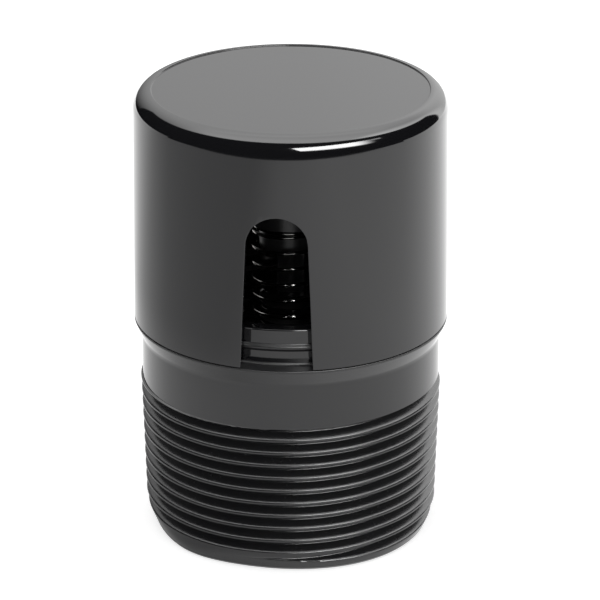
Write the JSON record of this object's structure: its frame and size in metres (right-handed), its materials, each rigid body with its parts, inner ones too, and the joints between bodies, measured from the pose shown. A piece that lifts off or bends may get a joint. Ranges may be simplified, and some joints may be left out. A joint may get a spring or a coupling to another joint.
{
  "type": "air admittance valve",
  "caption": "Black plastic vent valve with a male taper pipe thread and a slotted hood; a spring holds its poppet shut and low pressure in the drain pulls it open to let air in.",
  "frame": {"origin": "centre of the open end of the pipe thread, in the plane of its end face", "axes": "+Z along the axis from the thread to the hood, -Y out through the middle of one slot"},
  "size_m": [0.0506, 0.0506, 0.0736],
  "materials": {
    "black_abs": "polished black moulding",
    "stem_plastic": "satin black moulding",
    "seal_rubber": "matt moulded rubber",
    "spring_steel": "bright drawn wire"
  },
  "bodies": {
    "housing": {"vent_body": "black_abs", "hood": "black_abs", "return_spring": "spring_steel"},
    "plunger": {"valve_stem": "stem_plastic", "seal_washer": "seal_rubber", "spring_cap": "stem_plastic"}
  },
  "joints": [
    {"name": "vent_slide", "type": "slide", "parent": "housing", "child": "plunger", "axis": [0, 0, 1], "range_m": [-0.007, 0], "stiffness_N_per_m": 80, "springref_m": 0.0035, "deforming": ["return_spring"]}
  ]
}
